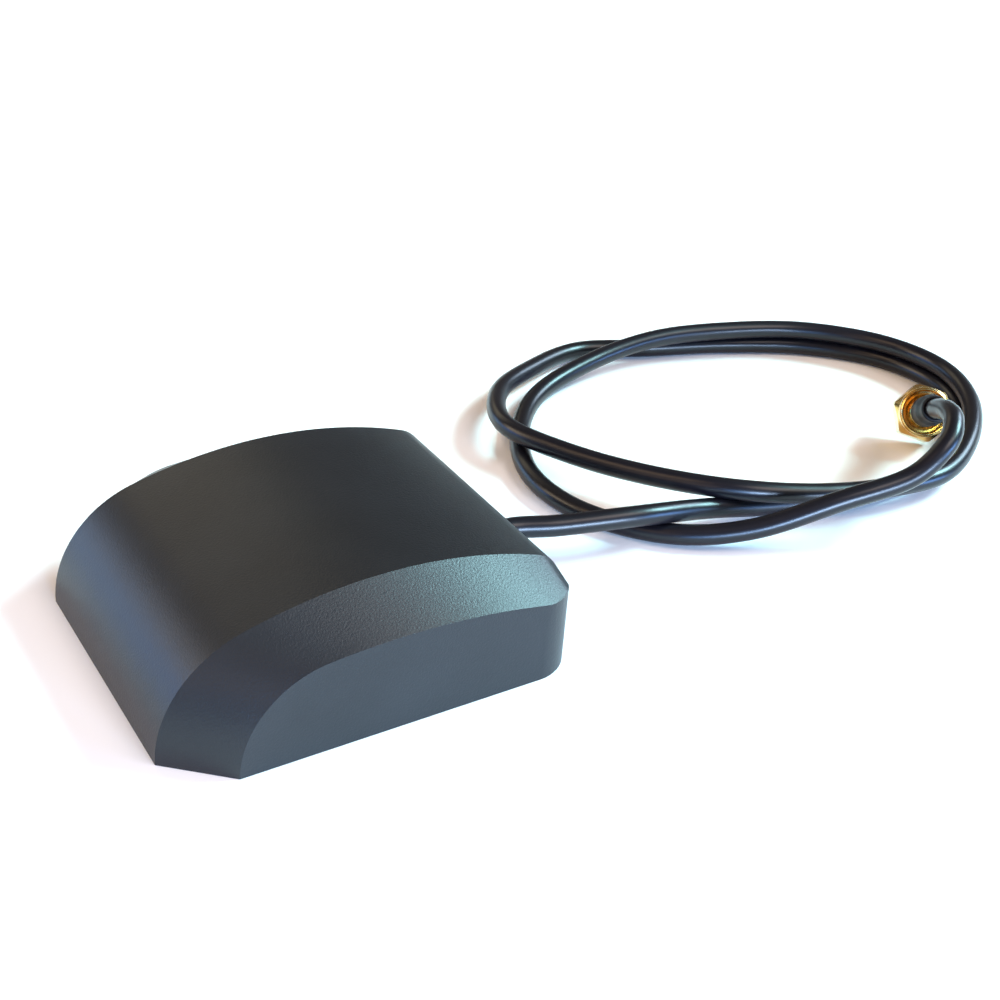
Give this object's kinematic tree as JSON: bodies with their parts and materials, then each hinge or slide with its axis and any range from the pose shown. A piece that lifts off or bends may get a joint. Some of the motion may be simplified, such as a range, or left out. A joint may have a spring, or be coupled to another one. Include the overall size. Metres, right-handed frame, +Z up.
{
  "type": "magnetic mount gnss antenna",
  "caption": "Low arched black puck with bevelled sides and a magnetic base, on a thin looped coaxial lead ending in a small gold threaded plug with a turning hexagonal nut.",
  "frame": {"origin": "centre of the housing's underside, on the surface it stands on", "axes": "+X along the housing from its curved nose to the back face the lead leaves by, +Y across it, +Z up"},
  "size_m": [0.1408, 0.0685, 0.0157],
  "materials": {
    "cover_abs": "fine grained",
    "base_plastic": "moulded",
    "pad_rubber": "matte",
    "seal_rubber": "matte",
    "magnet": "nickel plated",
    "screw_steel": "zinc plated",
    "board": "solder mask",
    "ceramic": "fired",
    "silver": "fired silver",
    "adhesive": "tape",
    "solder": "solder",
    "tin_sheet": "tin plated",
    "chip_epoxy": "epoxy",
    "chip_ceramic": "fired",
    "chip_parts": "fired",
    "grommet_rubber": "matte",
    "cable_pvc": "satin",
    "shrink": "heat shrunk",
    "gold_brass": "gold plated",
    "ring_bronze": "sprung",
    "ptfe": "turned",
    "silicone": "matte"
  },
  "bodies": {
    "antenna": {"housing_cover": "cover_abs", "base_plate": "base_plastic", "base_seal": "seal_rubber", "base_pad": "pad_rubber", "magnets": "magnet", "base_screws": "screw_steel", "circuit_board": "board", "board_screws": "screw_steel", "ceramic_patch": "ceramic", "patch_electrode": "silver", "patch_adhesive": "adhesive", "feed_pin": "gold_brass", "feed_solder": "solder", "shield_can": "tin_sheet", "amplifier_chip": "chip_epoxy", "saw_filter": "chip_ceramic", "chip_components": "chip_parts", "cable_grommet": "grommet_rubber", "cable_clamp": "gold_brass", "cable_tail": "cable_pvc", "tail_solder": "solder", "cable": "cable_pvc", "plug_cable_end": "cable_pvc", "heat_shrink": "shrink", "crimp_ferrule": "gold_brass", "plug_body": "gold_brass", "plug_insulator": "ptfe", "centre_pin": "gold_brass", "retaining_ring": "ring_bronze", "plug_gasket": "silicone"},
    "nut": {"coupling_nut": "gold_brass"}
  },
  "joints": [
    {"name": "nut_spin", "type": "hinge", "parent": "antenna", "child": "nut", "pos_m": [0.09908, 0.0001, 0.00548], "axis": [0.5965, 0.6397, -0.4848], "continuous": true}
  ]
}
